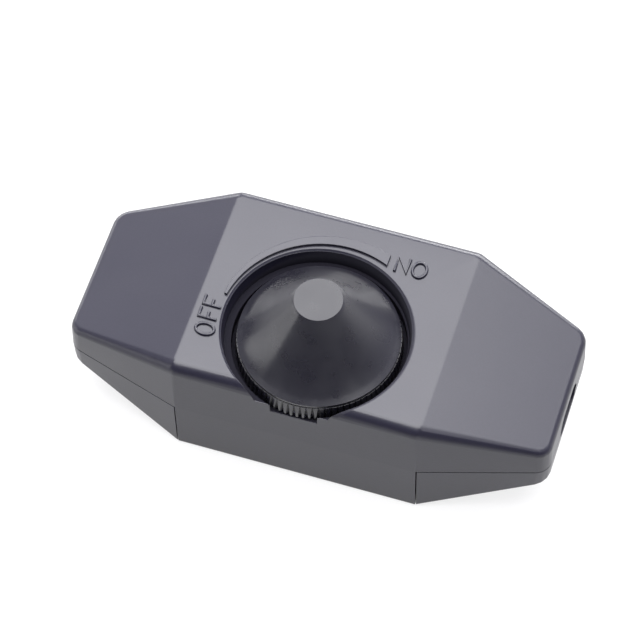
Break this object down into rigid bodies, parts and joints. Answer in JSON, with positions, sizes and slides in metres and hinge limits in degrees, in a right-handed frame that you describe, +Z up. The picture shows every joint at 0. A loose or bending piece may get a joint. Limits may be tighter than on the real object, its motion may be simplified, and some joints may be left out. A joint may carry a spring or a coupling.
{
  "type": "inline rotary cord switch",
  "caption": "Black inline lamp cord switch with a tapered two-part case and a knurled cone dial set in a round well that opens through the front wall.",
  "frame": {"origin": "centre of the flat underside that the case rests on", "axes": "+X along the cord, +Y to the back, away from the side where the dial's rim shows, +Z up"},
  "size_m": [0.085, 0.0384, 0.0345],
  "materials": {
    "case": "satin",
    "dial": "gloss",
    "shaft_metal": "satin",
    "plated_steel": "satin",
    "brass": "satin",
    "tinned_brass": "satin",
    "phenolic": "matte",
    "nylon": "satin",
    "board": "satin",
    "component_black": "satin",
    "component_red": "gloss",
    "component_blue": "gloss",
    "component_tan": "satin",
    "aluminium": "satin",
    "ferrite": "matte",
    "enamelled_copper": "gloss",
    "fuse_glass": "gloss"
  },
  "bodies": {
    "case": {"upper_cover": "case", "lower_cover": "case", "bush_nut": "plated_steel", "pot_bush": "brass", "pot_case": "plated_steel", "pot_base": "phenolic", "pot_terminals": "tinned_brass", "circuit_board": "board", "neutral_link": "brass", "triac_body": "component_black", "triac_tab": "tinned_brass", "triac_legs": "tinned_brass", "heat_sink": "aluminium", "triac_screw": "plated_steel", "film_capacitor": "component_red", "timing_capacitor": "component_blue", "choke_core": "ferrite", "choke_winding": "enamelled_copper", "resistors": "component_tan", "diac": "component_blue", "fuse_glass": "fuse_glass", "fuse_caps": "plated_steel", "fuse_clips": "brass", "terminal_blocks": "nylon", "terminal_clamps": "brass", "terminal_screws": "plated_steel", "cord_clamps": "dial", "clamp_screws": "plated_steel", "cover_screws": "plated_steel"},
    "dial": {"dial": "dial", "dial_shaft": "shaft_metal", "pot_rotor": "nylon"}
  },
  "joints": [
    {"name": "dial_turn", "type": "hinge", "parent": "case", "child": "dial", "pos_m": [0, -0.0048, 0.0193], "axis": [0, 0, -1], "range_deg": [0, 280]}
  ]
}
